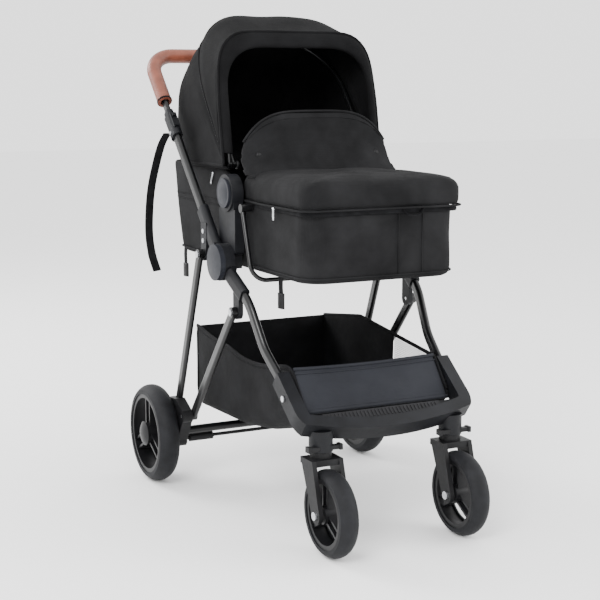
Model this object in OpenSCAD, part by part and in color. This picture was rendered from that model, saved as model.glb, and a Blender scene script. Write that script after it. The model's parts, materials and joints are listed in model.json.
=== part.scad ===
// Baby stroller with a carrycot: folding tube frame, telescopic handle, swivel front wheels,
// shopping basket, and a cot with an apron and a folding hood. Millimetres.
// The stroller faces -Y and stands on z = 0. Right is -X, left is +X.

/* [Wheels] */
// Radius of a rear tyre
rear_r = 108; // [96:1:112]
// Width of a rear tyre
rear_w = 46; // [36:1:46]
// Distance from the centre plane to the middle of a rear tyre
rear_x = 263; // [263:1:280]
// Distance of the rear axle behind the origin
rear_y = 265; // [258:1:272]
// Radius of a front tyre
front_r = 84; // [76:1:84]
// Width of a front tyre
front_w = 38; // [26:1:40]
// Distance from the centre plane to a caster stem
front_x = 144; // [138:1:146]
// Distance of a caster stem ahead of the origin
stem_y = 314; // [310:1:318]
// Distance from a caster stem to its axle
trail = 42; // [36:1:46]
// Number of double spokes in a wheel
spokes = 3; // [3:1:5]

/* [Frame] */
// Distance from the centre plane to the middle of a handle tube
tube_x = 203; // [203:1:206]
// Distance of the fold hub behind the origin
hub_y = 5; // [0:1:10]
// Height of the fold hub
hub_z = 520; // [516:1:524]
// Radius of the fold hub
hub_r = 38; // [34:1:39]
// Slope of the handle tubes
slope = 45.9; // [44:0.1:47]
// Distance by which the handle tubes pass under the fold hub
tube_drop = 8; // [6:0.5:9]
// Depth of a handle tube
tube_d = 23; // [21:1:25]
// Width of a handle tube
tube_w = 14; // [13:0.5:15]
// Depth of a rear leg and a strut
leg_d = 22; // [18:1:24]
// Width of a rear leg and a strut
leg_w = 11; // [9:0.5:11]

/* [Handle] */
// Distance from the fold hub to the top of a handle tube
tube_top = 372; // [350:1:380]
// Distance from the fold hub to the lower end of the leather grip
grip_from = 451; // [445:1:470]
// Distance from the fold hub to the handle bar
bar_reach = 594; // [580:1:600]
// Bend radius of the handle bar
bar_bend = 57; // [50:1:62]
// Diameter of the leather grip
grip_d = 32; // [28:1:34]

/* [Carrycot] */
// Half width of the cot
cot_x = 168; // [150:1:168]
// Height of the underside of the cot
cot_bottom = 506; // [504:1:512]
// Height of the seam between the tub and the apron
cot_seam = 645; // [640:1:650]
// Height of the rear rim of the cot
cot_rim = 706; // [700:1:706]
// Distance from the origin to the front face of the cot
cot_front = 300; // [280:1:304]
// Distance from the origin to the rear face of the cot, at its underside
cot_rear = 353; // [340:1:356]
// Amount by which the rear face leans out at the rim
cot_lean = 48; // [30:1:50]
// Height of the top of the wind flap
flap_top = 825; // [790:1:830]

/* [Hood] */
// Height of the top of the hood
hood_top = 1030; // [990:1:1032]
// Half width of the hood
hood_x = 184; // [180:1:186]
// Distance of the foot of the hood's front rim behind the origin
hood_rim_y = 36; // [34:1:37]
// Angle by which the front rim leans back
hood_lean = 9; // [8:0.5:9.5]
// Thickness of the hood
hood_wall = 4; // [3:0.5:5]

/* [Basket] */
// Half width of the basket
basket_x = 163; // [150:1:163]
// Thickness of the basket
basket_wall = 4; // [3:0.5:5]

/* [Hidden] */
$fn = 48;
gap = 0.3;
seam_band = 1;
seam_scale = 1.006;
fit = 0.06;
hull_fn = 28;
hub = [hub_y, hub_z];
seat_hub = [9, 660];
// pivots of the fold, as [y, z]
rear_leg_pivot = [84, 528];
strut_top_pivot = [-56, 425];
strut_foot_pivot = [165, 164];
leg_foot = [225, 165];
rear_axle = [rear_y, rear_r];
cross_bar = [190, 125];
brake_rod = [202, 104];
leg_slope = atan2(rear_leg_pivot.y - leg_foot.y, rear_leg_pivot.x - leg_foot.x);
front_axle = [-stem_y - trail, front_r];
// planes of the side links, as distances from the centre plane
strut_x = 209;
rear_leg_x = 222;
post_x0 = 172;
post_x1 = 192.6;
inner_disc = [193, 202.9];
outer_disc = [203.1, 214];
bracket_in = 215.4;
bracket_out = 238;
sleeve_d = 34;
sleeve_w = 20;
// the lower half of the frame: direction from the hub, and how far the legs lean in
lower_slope = -147.5;
splay = 5;
lower_from = 40;
neck_from = 12;
leg_bend = 110;
// the moulded footrest lies in a sloping plane that starts at the front legs' ends
rest_start = [-225, 312];
rest_bolt = [-255, 288];
rest_slope = 37.4;
rest_h = 34;
rest_w = 26;
rest_x = 180;
rest_reach = 145;
rest_corner = 60;
bow_sagitta = 26;
bow_r = (pow(rest_x, 2) + pow(bow_sagitta, 2)) / (2 * bow_sagitta);
hood_pivot = [42, 714];
rim_foot = 697;
front_bow_x = 171;
rear_bow_x = 162;
bow_pin_r = 2.5;
tab_rivets = [28, 48];
bow_d = 8;
bow_boss_w = 7;
bow_from = 4;
slide_d = 19;
slide_w = 10.4;
slide_from = 110;

function unit(v) = v / norm(v);
function turn_at(p, i) = let (u = unit(p[i] - p[i - 1]), v = unit(p[i + 1] - p[i])) acos(u * v);
function trim_at(p, i, r) = (i == 0 || i == len(p) - 1) ? 0 : r * tan(turn_at(p, i) / 2);
// Path of a front leg, as distances along and under the line that it leaves the hub on
function leg_path(end) = [[50, 0], [128, 0], [220, 44], [end, 57]];
function polar(o, r, a) = o + r * [cos(a), sin(a)];

// Stretched circle: d across the plane of a bend, w along the bend's axis
module oval(d, w) {
    for (s = [-1, 1]) translate([s * (d - w) / 2, 0]) circle(d = w);
    square([d - w, w], center = true);
}

// Sweeps the 2D child along corner points p in the XY plane, with bends of radius r
module bent(p, r) {
    for (i = [0 : len(p) - 2]) {
        u = unit(p[i + 1] - p[i]);
        from = p[i] + u * trim_at(p, i, r);
        run = norm(p[i + 1] - p[i]) - trim_at(p, i, r) - trim_at(p, i + 1, r);
        translate([from.x, from.y, 0]) rotate([0, 0, atan2(u.y, u.x)]) rotate([90, 0, 90])
            linear_extrude(run) children();
    }
    if (len(p) > 2) for (i = [1 : len(p) - 2]) {
        u = unit(p[i] - p[i - 1]);
        side = sign(cross(u, p[i + 1] - p[i]));
        from = p[i] - u * trim_at(p, i, r);
        c = from + side * r * [-u.y, u.x];
        start = atan2(from.y - c.y, from.x - c.x);
        translate([c.x, c.y, 0]) rotate([0, 0, side > 0 ? start : start - turn_at(p, i)])
            rotate_extrude(angle = turn_at(p, i)) translate([r, 0]) children();
        // a slightly proud band closes the seam at each end of the bend
        for (a = [start, start + side * turn_at(p, i)])
            translate([c.x + r * cos(a), c.y + r * sin(a), 0]) rotate([0, 0, a]) rotate([90, 0, 0])
                linear_extrude(seam_band, center = true) scale(seam_scale) children();
    }
}

// Puts a drawing of [y, z] into the side plane at distance x, thick towards +X
module side_plane(x) translate([x, 0, 0]) rotate([90, 0, 90]) children();

// Plate in the side plane between distances a and b
module side_plate(a, b) side_plane(a) linear_extrude(b - a) children();

// Round bar along X between distances a and b, centred on c = [y, z]
module side_bar(c, r, a, b) side_plate(a, b) translate(c) circle(r);

// Frame whose origin is just under the fold hub, with Y along the handle tubes
module on_handle() translate([0, hub_y, hub_z]) rotate([slope, 0, 0]) translate([0, 0, -tube_drop])
    children();

// Frame whose origin is the fold hub, with X outwards and Y along the front leg, leaning in
module on_leg() {
    start = polar(hub, lower_from, lower_slope);
    translate([tube_x, start.x, start.y]) rotate([lower_slope, 0, 0]) rotate([0, 0, splay])
        translate([0, -lower_from, 0]) children();
}

// Turns a piece drawn for the left into the right or the left one
module at_side(side) {
    if (side == "left") children();
    else mirror([1, 0, 0]) children();
}

module both() for (side = ["right", "left"]) at_side(side) children();

module front_leg(side) color([0.07, 0.07, 0.08]) at_side(side) on_leg()
    rotate([90, 0, 90]) bent(leg_path(330), leg_bend) oval(tube_d, tube_w);

module front_leg_space() on_leg()
    rotate([90, 0, 90]) bent(leg_path(331), leg_bend)
        oval(tube_d + 2 * gap, tube_w + 2 * gap);

module fold_hub_lower(side) color([0.16, 0.17, 0.18]) at_side(side) difference() {
    union() {
        side_bar(hub, hub_r, inner_disc[0], inner_disc[1]);
        side_plate(inner_disc[0], inner_disc[1]) translate(hub) rotate([0, 0, lower_slope])
            translate([neck_from, -sleeve_d / 2]) square([lower_from + 4 - neck_from, sleeve_d]);
        on_leg() translate([0, lower_from, 0]) rotate([-90, 0, 0])
            linear_extrude(68) rotate([0, 0, 90]) oval(sleeve_d, sleeve_w);
        side_plate(inner_disc[0], inner_disc[1]) {
            translate(strut_top_pivot) circle(14);
            translate(strut_top_pivot + [-14, 0]) square([28, 45]);
        }
    }
    on_leg() translate([0, 49.6, 0]) rotate([-90, 0, 0]) linear_extrude(80)
        rotate([0, 0, 90]) oval(tube_d + 2 * gap, tube_w + 2 * gap);
    side_bar(hub, 6 + fit, 190, 216);
    side_bar(strut_top_pivot, 4 + fit, 190, 216);
}

module rest_plane() translate([0, rest_start.x, rest_start.y]) rotate([rest_slope, 0, 0])
    mirror([0, 1, 0]) children();

// Outline of the footrest, shrunk by m on every edge; x across, y forwards
module rest_outline(m) intersection() {
    union() {
        for (s = [-1, 1]) translate([s * (rest_x + rest_w / 2 - rest_corner), rest_reach - rest_corner])
            circle(rest_corner - m);
        translate([-rest_x - rest_w / 2 + m, -12]) square([2 * rest_x + rest_w - 2 * m, rest_reach - rest_corner + 12]);
        translate([-rest_x + rest_corner - rest_w / 2, 0])
            square([2 * rest_x + rest_w - 2 * rest_corner, rest_reach - m]);
    }
    translate([0, rest_reach - bow_r]) circle(bow_r - m, $fn = 96);
}

module footrest() color([0.17, 0.18, 0.2]) difference() {
    union() {
        rest_plane() translate([0, 0, -rest_h / 2]) linear_extrude(rest_h) difference() {
            rest_outline(0);
            rest_outline(rest_w);
            translate([-rest_x + rest_w / 2, -20]) square([2 * rest_x - rest_w, 80]);
        }
        rest_plane() translate([0, 0, -10]) linear_extrude(5) intersection() {
            rest_outline(rest_w - 1);
            translate([-rest_x, 84]) square([2 * rest_x, 60]);
        }
        both() translate([front_x, -stem_y, 196]) cylinder(r = 23, h = 40);
    }
    both() {
        front_leg_space();
        translate([front_x, -stem_y, 190]) cylinder(r = 5 + fit, h = 40);
        translate([front_x - 40, -stem_y - 20.3, 199.7]) cube([80, 12.6, 8.6]);
        side_bar(rest_bolt, 4 + fit, 150, 200);
    }
}

module footrest_tread() color([0.1, 0.1, 0.11]) rest_plane() {
    intersection() {
        translate([0, 0, -5 + gap]) linear_extrude(4) rest_outline(rest_w + 1);
        translate([-130, 86, -6]) cube([260, 60, 12]);
    }
    for (x = [-120 : 8 : 120]) translate([x - 1.5, 89, -1 + gap]) cube([3, 16, 1.5]);
}

module seat_post(side) color([0.15, 0.16, 0.18]) at_side(side) difference() {
    union() {
        side_plate(post_x0, post_x1) {
            translate([-31, 548]) square([80, 80]);
            translate([-19, 536]) square([56, 20]);
            for (y = [-19, 37]) translate([y, 548]) circle(12);
            translate([-19, 508]) square([56, 40]);
        }
        side_bar(seat_hub, 38, post_x0, 197);
        side_plate(post_x0, post_x1) translate([-25, 600]) square([68, 60]);
    }
    side_bar(seat_hub, 30.5, 190, 200);
    side_bar(seat_hub, 8 + fit, 170, 192);
    side_bar(hub, 6 + fit, 170, 200);
}

module seat_button(side) color([0.24, 0.25, 0.28]) at_side(side) difference() {
    union() {
        side_bar(seat_hub, 30, 196, 202);
        side_plane(202) translate(seat_hub) rotate_extrude()
            intersection() { translate([0, -97]) circle(100, $fn = 120); square([30, 4]); }
    }
    side_bar(seat_hub, 22, 195, 198);
}

module frame_fasteners() color([0.75, 0.76, 0.78]) both() {
    side_bar(hub, 6, 176, 213.6);
    side_bar(strut_top_pivot, 4, 194, 215);
    side_bar(strut_top_pivot, 7, 215, 217);
    side_bar(rest_bolt, 4, 170, 194);
    side_bar(rest_bolt, 6, 194, 196.5);
}

module basket() color([0.05, 0.05, 0.055]) difference() {
    side_plate(-basket_x, basket_x) polygon([[256, 154], [262, 344], [80, 372], [-225, 336],
        [-284, 262], [-277, 238], [-94, 181], [30, 162]]);
    side_plate(-basket_x + basket_wall, basket_x - basket_wall) polygon([
        [256 - basket_wall, 154 + basket_wall], [262 - basket_wall, 400], [-218, 400],
        [-218, 336], [-279, 261], [-274, 238 + basket_wall], [-94, 181 + basket_wall],
        [30, 162 + basket_wall]]);
}

module handle_tube(side) color([0.06, 0.06, 0.07]) at_side(side) on_handle() translate([tube_x, 42, 0])
    rotate([-90, 0, 0]) linear_extrude(tube_top - 42) rotate([0, 0, 90]) difference() {
        oval(tube_d, tube_w);
        oval(slide_d + 2 * gap, slide_w + 2 * gap);
    }

module fold_hub_upper(side) color([0.16, 0.17, 0.18]) at_side(side) difference() {
    union() {
        side_bar(hub, hub_r, outer_disc[0], outer_disc[1]);
        on_handle() translate([outer_disc[0], neck_from, -sleeve_d / 2])
            cube([outer_disc[1] - outer_disc[0], lower_from + 4 - neck_from, sleeve_d]);
        on_handle() translate([tube_x, lower_from, 0]) rotate([-90, 0, 0])
            linear_extrude(106) rotate([0, 0, 90]) oval(sleeve_d, sleeve_w);
        side_plate(outer_disc[0], outer_disc[1]) {
            translate(rear_leg_pivot) circle(14);
            translate(rear_leg_pivot + [-14, 0]) square([28, 66]);
        }
    }
    on_handle() translate([tube_x, 41.6, 0]) rotate([-90, 0, 0]) linear_extrude(110)
        rotate([0, 0, 90]) oval(tube_d + 2 * gap, tube_w + 2 * gap);
    side_bar(hub, 6 + fit, 190, 214.5);
    side_bar(rear_leg_pivot, 5, 200, 216);
    for (h = tab_rivets) side_bar(rear_leg_pivot + [0, h], 3 + fit, 209, 216);
}

module hub_cover(side) color([0.24, 0.25, 0.28]) at_side(side) difference() {
    side_plane(outer_disc[1]) translate(hub) rotate_extrude() intersection() {
        translate([0, -186]) circle(200, $fn = 180);
        union() {
            square([35, 14]);
            square([37, 11]);
        }
    }
    side_bar(hub, 10, 213, 217);
}

module height_adjuster(side) color([0.09, 0.09, 0.1]) at_side(side) on_handle() translate([tube_x, 0, 0])
    difference() {
        union() {
            translate([0, tube_top - 24, 0]) rotate([-90, 0, 0]) linear_extrude(60)
                rotate([0, 0, 90]) oval(32, 23);
            translate([0, tube_top + 36, 0]) rotate([-90, 0, 0]) linear_extrude(12)
                rotate([0, 0, 90]) oval(26, 18);
            translate([-7, tube_top - 8, 0]) cube([14, 40, 19]);
        }
        translate([0, tube_top - 25, 0]) rotate([-90, 0, 0]) linear_extrude(25 + gap)
            rotate([0, 0, 90]) oval(tube_d + 2 * gap, tube_w + 2 * gap);
        translate([0, tube_top - 1, 0]) rotate([-90, 0, 0]) linear_extrude(60)
            rotate([0, 0, 90]) oval(slide_d + 2 * gap, slide_w + 2 * gap);
        translate([-5, tube_top - 10, 14.5]) cube([10, 38, 10]);
        translate([-10, tube_top - 3, 17]) rotate([0, 90, 0]) cylinder(r = 1.5 + fit, h = 20);
    }

// Lever that lets the handle slide; it turns on a pin across the adjuster
module adjuster_lever(side) color([0.12, 0.12, 0.13]) at_side(side) on_handle()
    translate([tube_x, tube_top - 3, 17]) {
        translate([-7, 0, 0]) rotate([0, 90, 0]) cylinder(r = 1.5, h = 14);
        translate([-4.6, 0, 0]) rotate([0, 90, 0]) cylinder(r = 2.3, h = 9.2);
        translate([-4.6, 0, 0.8]) cube([9.2, 30, 1.5]);
        translate([-4.6, 22, 0.8]) cube([9.2, 8, 6]);
    }

module wrist_strap() color([0.05, 0.05, 0.055]) at_side("right") side_plane(214) bent(
    [[284.5, 772], [300, 740], [326, 690], [336, 619], [330, 540], [319, 461]], 60) square([2, 20], center = true);

module handle_rivets() color([0.75, 0.76, 0.78]) both() {
    for (h = tab_rivets) {
        side_bar(rear_leg_pivot + [0, h], 3, 212, 214);
        side_bar(rear_leg_pivot + [0, h], 5, 214, 215.8);
    }
    on_handle() translate([tube_x + 11.5, tube_top - 12, 0]) rotate([0, 90, 0]) cylinder(r = 4, h = 2);
}

// U-shaped path of the handle, drawn flat: x across, y along the tubes
function handle_path(from) = [[-tube_x, from], [-tube_x, bar_reach], [tube_x, bar_reach], [tube_x, from]];

module handle_bar() color([0.08, 0.08, 0.09]) on_handle() bent(handle_path(slide_from), bar_bend)
    rotate([0, 0, 90]) oval(slide_d, slide_w);

module leather_grip() color([0.55, 0.27, 0.19]) on_handle() bent(handle_path(grip_from), bar_bend)
    difference() { circle(d = grip_d); circle(d = 20); }

module strut(side) color([0.07, 0.07, 0.08]) at_side(side) difference() {
    union() {
        side_plane(strut_x) bent([strut_top_pivot, strut_foot_pivot], 1) oval(leg_d, leg_w);
        for (c = [strut_top_pivot, strut_foot_pivot]) side_bar(c, leg_d / 2, strut_x - leg_w / 2, strut_x + leg_w / 2);
    }
    side_bar(strut_top_pivot, 4 + fit, 200, 220);
    side_bar(strut_foot_pivot, 4 + fit, 200, 220);
}

module rear_leg(side) color([0.07, 0.07, 0.08]) at_side(side) difference() {
    union() {
        side_plane(rear_leg_x) bent([rear_leg_pivot, leg_foot], 1) oval(leg_d, leg_w);
        side_bar(rear_leg_pivot, leg_d / 2, rear_leg_x - leg_w / 2, rear_leg_x + leg_w / 2);
    }
    side_bar(rear_leg_pivot, 4 + fit, 210, 230);
}

module rear_bracket(side) color([0.13, 0.13, 0.14]) at_side(side) difference() {
    union() {
        side_bar(strut_foot_pivot, 15, bracket_in, bracket_out);
        side_bar(rear_axle, 20, bracket_in, bracket_out);
        side_bar(brake_rod, 16, bracket_in, bracket_out);
        side_plate(bracket_in, bracket_out) polygon([strut_foot_pivot + [-9, 12], [198, 196], [242, 192],
            rear_axle + [17, 10], rear_axle + [0, -20], brake_rod + [0, -16],
            brake_rod + [-16, 0], strut_foot_pivot + [-15, 0]]);
    }
    translate([rear_leg_x - leg_w / 2 - gap, 0, 0]) side_plane(0) linear_extrude(leg_w + 2 * gap)
        translate(leg_foot) rotate([0, 0, leg_slope]) translate([-12, -leg_d / 2 - gap])
            square([90, leg_d + 2 * gap]);
    side_bar(rear_axle, 6 + fit, 210, 240);
    side_bar(strut_foot_pivot, 4 + fit, 210, 240);
    side_bar(brake_rod, 4 + fit, 210, 240);
}

module rear_cross_tube() color([0.07, 0.07, 0.08]) difference() {
    side_bar(cross_bar, 9, -bracket_in, bracket_in);
    side_bar(cross_bar, 7.5, -bracket_in - 1, bracket_in + 1);
}

module rear_axles() color([0.7, 0.71, 0.73]) both() side_bar(rear_axle, 6, 216, 287);

module rear_rivets() color([0.75, 0.76, 0.78]) both() {
    side_bar(rear_leg_pivot, 4, 215, 228);
    side_bar(rear_leg_pivot, 7, 228, 230);
    side_bar(strut_foot_pivot, 4, 203, 237);
    side_bar(strut_foot_pivot, 7, 201, 203);
}

module brake_bar() color([0.2, 0.2, 0.22]) {
    side_bar(brake_rod, 4, -236, 236);
    side_plate(-205, -150) translate(brake_rod) {
        circle(9);
        rotate([0, 0, -12]) translate([0, -5]) square([52, 9]);
        rotate([0, 0, -12]) translate([52, -0.5]) circle(4.5);
    }
}

module tyre(r, w, rim_r) rotate([0, 90, 0]) rotate_extrude($fn = 96) intersection() {
    translate([rim_r, -w / 2]) square([r - rim_r, w]);
    translate([r - w * 0.62, 0]) circle(w * 0.62);
}

// Rim with a bore of radius b, ribs set in pairs, and a hub as wide as the tyre
module rim(r, w, b) rotate([0, 90, 0]) difference() {
    union() {
        rotate_extrude($fn = 96) {
            translate([r - 9, -w / 2 + 2]) square([9, 3]);
            translate([r - 4.5, -w / 2 + 2]) square([4.5, w - 4]);
            translate([r - 9, w / 2 - 5]) square([9, 3]);
            translate([0, -w / 2]) square([r * 0.26, w]);
        }
        for (i = [0 : spokes - 1]) rotate([0, 0, 360 / spokes * i + 60]) for (s = [-1, 1])
            translate([r * 0.2, s * r * 0.13 - 2.5, -w * 0.34]) cube([r * 0.78, 5, w * 0.68]);
    }
    translate([0, 0, -w]) cylinder(r = b, h = 2 * w);
}

module rear_tyre(side) color([0.14, 0.14, 0.16]) at_side(side)
    translate([rear_x, rear_axle.x, rear_axle.y]) tyre(rear_r, rear_w, rear_r - 20);

module rear_rim(side) color([0.12, 0.12, 0.13]) at_side(side) {
    translate([rear_x, rear_axle.x, rear_axle.y]) rim(rear_r - 20, rear_w, 6 + fit);
    side_plane(rear_x + rear_w / 2) translate(rear_axle) rotate_extrude() difference() {
        intersection() {
            translate([0, -41]) circle(50, $fn = 120);
            square([27, 9]);
        }
        translate([-1, -1]) square([8, 3]);
    }
}

module caster_fork(side) color([0.13, 0.13, 0.14]) at_side(side) difference() {
    union() {
        translate([front_x, -stem_y, 174]) cylinder(r = 21, h = 21);
        translate([front_x, -stem_y, 180]) cylinder(r = 5, h = 48);
        translate([front_x - 33, -stem_y - 28, 172]) cube([66, 48, 12]);
        for (s = [-1, 1]) side_plate(front_x + s * 28.5 - 4.5, front_x + s * 28.5 + 4.5) {
            polygon([[-stem_y + 20, 184], [-stem_y - 28, 184], front_axle + [-15, 6], front_axle + [13, -9]]);
            translate(front_axle) circle(16);
        }
    }
    side_bar(front_axle, 4 + fit, front_x - 50, front_x + 50);
}

module front_axle_bolt(side) color([0.75, 0.76, 0.78]) at_side(side) {
    side_bar(front_axle, 4, front_x - 33, front_x + 33);
    side_bar(front_axle, 8, front_x + 33, front_x + 37);
    side_bar(front_axle, 8, front_x - 37, front_x - 33);
}

// Slider through the stem socket that locks the swivel
module caster_lock(side) color([0.1, 0.1, 0.11]) at_side(side) {
    translate([front_x - 36, -stem_y - 20, 200]) cube([72, 12, 8]);
    for (s = [-1, 1]) translate([front_x + s * 33 - 3, -stem_y - 21.5, 198.5]) cube([6, 15, 11]);
}

module front_tyre(side) color([0.14, 0.14, 0.16]) at_side(side)
    translate([front_x, front_axle.x, front_axle.y]) tyre(front_r, front_w, front_r - 17);

module front_rim(side) color([0.12, 0.12, 0.13]) at_side(side)
    translate([front_x, front_axle.x, front_axle.y]) rim(front_r - 17, front_w, 4 + fit);

// Four upright posts at the corners of the cot, from height a to b, drawn in by m
module cot_corners(a, b, lean, m) for (s = [-1, 1]) {
    translate([s * (cot_x - 80), 80 - cot_front, a]) cylinder(r = 80 - m, h = b - a, $fn = hull_fn);
    translate([s * (cot_x - 80), cot_rear + lean - 80, a]) cylinder(r = 80 - m, h = b - a, $fn = hull_fn);
}

module carrycot() color([0.07, 0.07, 0.075]) {
    difference() {
        hull() {
            cot_corners(cot_bottom, cot_bottom + 1, 0, 0);
            cot_corners(cot_rim - 1, cot_rim, cot_lean, 0);
        }
        hull() {
            cot_corners(cot_bottom + 12, cot_bottom + 13, 4, 10);
            cot_corners(cot_rim, cot_rim + 1, cot_lean, 10);
        }
        translate([-200, -cot_front - 10, cot_seam]) cube([400, cot_front + 40, 100]);
    }
    both() {
        side_plate(cot_x - 4, cot_x + 3.6) translate([seat_hub.x - 22, cot_seam - 40]) square([44, 36]);
        side_plate(cot_x, cot_x + 3.6) translate([seat_hub.x - 22, cot_seam - 8]) square([44, 20]);
        side_bar(seat_hub, 26, cot_x, cot_x + 3.6);
        side_bar(seat_hub, 8, cot_x, 188);
        side_plate(cot_x - 16, cot_x - 8) translate([hood_pivot.x - 9, cot_rim - 16]) square([18, 14]);
        side_plate(cot_x - 16, cot_x - 10.6) {
            translate(hood_pivot) circle(9);
            translate([hood_pivot.x - 9, cot_rim - 4]) square([18, hood_pivot.y - cot_rim + 4]);
        }
        side_bar(hood_pivot, bow_pin_r, cot_x - 13, front_bow_x + 4.5);
    }
}

module mattress() color([0.3, 0.3, 0.31]) hull() {
    cot_corners(cot_bottom + 12.5, cot_bottom + 13, 2, 15);
    cot_corners(cot_bottom + 34, cot_bottom + 36, 2, 18);
}

module apron() color([0.08, 0.08, 0.085]) difference() {
    hull() for (s = [-1, 1]) {
        translate([s * (cot_x - 76), 76 - cot_front, cot_seam + 1]) cylinder(r = 82, h = 40, $fn = 32);
        translate([s * (cot_x - 76), 76 - cot_front, cot_seam + 50]) cylinder(r = 76, h = 3, $fn = 32);
        translate([s * (cot_x - 11) - 9, -4, cot_seam + 1]) cube([18, 12, 40]);
        translate([s * (cot_x - 15) - 9, -4, cot_seam + 50]) cube([18, 12, 3]);
    }
    hull() for (s = [-1, 1]) {
        translate([s * (cot_x - 76), 76 - cot_front, cot_seam]) cylinder(r = 74, h = 36, $fn = 32);
        translate([s * (cot_x - 16) - 9, 0, cot_seam]) cube([18, 20, 36]);
    }
}

module wind_flap() color([0.08, 0.08, 0.085]) translate([0, -4, cot_seam + 53 + gap]) rotate([90, 0, 0])
    linear_extrude(8) intersection() {
        union() {
            translate([-cot_x, 0]) square([2 * cot_x, 70]);
            for (s = [-1, 1]) translate([s * (cot_x - 70), 56]) circle(70);
            translate([-cot_x + 70, 0]) square([2 * cot_x - 140, flap_top - cot_seam - 54]);
        }
        translate([0, flap_top - cot_seam - 54 - 420]) circle(420, $fn = 120);
        translate([-cot_x, 0]) square([2 * cot_x, flap_top - cot_seam]);
    }

// Distance behind the origin of the hood's front rim at height z
function rim_at(z) = hood_rim_y + (z - rim_foot) * tan(hood_lean);

// Closing arch of the hood's front, drawn in by m and thick backwards
module hood_arch(m, thick) for (s = [-1, 1]) {
    translate([s * (hood_x - 62), rim_at(922), 922]) rotate([-90, 0, 0]) cylinder(r = 56 - m, h = thick, $fn = hull_fn);
    translate([s * (hood_x - 14), rim_at(840), 840]) rotate([-90, 0, 0]) cylinder(r = 14 - m, h = thick, $fn = hull_fn);
    translate([s * (hood_x - 14), rim_at(cot_rim + 4), cot_rim + 4]) rotate([-90, 0, 0])
        cylinder(r = 14 - m, h = thick, $fn = hull_fn);
}

// Rear of the hood, drawn in by m
module hood_back(m) for (s = [-1, 1]) {
    translate([s * (hood_x - 96), 215, hood_top - 70]) sphere(70 - m, $fn = hull_fn);
    translate([s * (hood_x - 88), 318, 850]) sphere(82 - m, $fn = hull_fn);
    translate([s * (hood_x - 88), 322, cot_rim + 4]) cylinder(r = 82 - m, h = 2, $fn = hull_fn);
}

module hood_fabric() color([0.04, 0.04, 0.045]) difference() {
    hull() {
        hood_arch(0, 3);
        hood_back(0);
    }
    hull() {
        translate([0, -1, 0]) hood_arch(hood_wall, 4);
        hood_back(hood_wall);
    }
    translate([-200, 0, cot_rim - 20]) cube([400, 500, 20 + 2 * gap]);
    hull() {
        translate([0, 0, -8]) hood_back(hood_wall);
        for (s = [-1, 1]) translate([s * (hood_x - 14), rim_at(cot_rim), cot_rim - 8])
            cylinder(r = 14 - hood_wall, h = 12, $fn = hull_fn);
    }
}

// Bow of the hood at distance x: lean is its angle back from upright, reach its height above its pivots
module hood_bow(x, lean, reach, corner) color([0.1, 0.1, 0.11])
    translate([0, hood_pivot.x, hood_pivot.y]) rotate([-lean, 0, 0]) rotate([90, 0, 0]) difference() {
        union() {
            bent([[-x, bow_from], [-x, reach], [x, reach], [x, bow_from]], corner) circle(d = bow_d);
            for (s = [-1, 1]) translate([s * x, 0, 0]) rotate([0, 90, 0])
                cylinder(r = 6, h = bow_boss_w, center = true);
        }
        rotate([0, 90, 0]) cylinder(r = bow_pin_r + fit, h = 400, center = true);
    }

module hood_bow_front() hood_bow(front_bow_x, hood_lean, 250, 78);

module hood_bow_rear() hood_bow(rear_bow_x, 40, 350, 150);

module leg_rest_bar() color([0.08, 0.08, 0.09]) {
    translate([0, -60, 634]) rotate([-18.2, 0, 0]) rotate([90, 0, 0])
        bent([[-189, 4], [-189, -147], [189, -147], [189, 4]], 32) circle(d = 9);
    both() side_bar([-60, 634], 7, cot_x + 0.4, 184.3);
    both() side_bar([-60, 634], 9, 184.3, 193.5);
}

front_leg("right");  // front_leg_right
front_leg("left");  // front_leg_left
footrest();
footrest_tread();
fold_hub_lower("right");  // fold_hub_lower_right
fold_hub_lower("left");  // fold_hub_lower_left
seat_post("right");  // seat_post_right
seat_post("left");  // seat_post_left
basket();
frame_fasteners();
seat_button("right");  // seat_button_right
seat_button("left");  // seat_button_left
handle_tube("right");  // handle_tube_right
handle_tube("left");  // handle_tube_left
fold_hub_upper("right");  // fold_hub_upper_right
fold_hub_upper("left");  // fold_hub_upper_left
height_adjuster("right");  // height_adjuster_right
height_adjuster("left");  // height_adjuster_left
hub_cover("right");  // hub_cover_right
hub_cover("left");  // hub_cover_left
wrist_strap();
handle_rivets();
handle_bar();
leather_grip();
adjuster_lever("right");  // adjuster_lever_right
adjuster_lever("left");  // adjuster_lever_left
strut("right");  // strut_right
strut("left");  // strut_left
rear_leg("right");  // rear_leg_right
rear_leg("left");  // rear_leg_left
rear_bracket("right");  // rear_bracket_right
rear_bracket("left");  // rear_bracket_left
rear_cross_tube();
rear_axles();
rear_rivets();
brake_bar();
rear_tyre("right");  // rear_tyre_right
rear_tyre("left");  // rear_tyre_left
rear_rim("right");  // rear_rim_right
rear_rim("left");  // rear_rim_left
caster_fork("right");  // caster_fork_right
caster_fork("left");  // caster_fork_left
front_axle_bolt("right");  // front_axle_right
front_axle_bolt("left");  // front_axle_left
caster_lock("right");  // caster_lock_right
caster_lock("left");  // caster_lock_left
front_tyre("right");  // front_tyre_right
front_tyre("left");  // front_tyre_left
front_rim("right");  // front_rim_right
front_rim("left");  // front_rim_left
carrycot();
mattress();
apron();
wind_flap();
hood_fabric();
hood_bow_front();
hood_bow_rear();
leg_rest_bar();
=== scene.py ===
"""Finished looks of the baby stroller: sewn fabric, leather, plastic and metal on the fixed frame.

Lengths are metres in the frame's own axes: the stroller faces -Y, right is -X and up is +Z.
"""

import json
import logging
import math
from dataclasses import dataclass, field
from enum import Enum
from typing import Callable, Sequence

import bmesh
import bpy
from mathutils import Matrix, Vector
from mathutils.bvhtree import BVHTree


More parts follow.
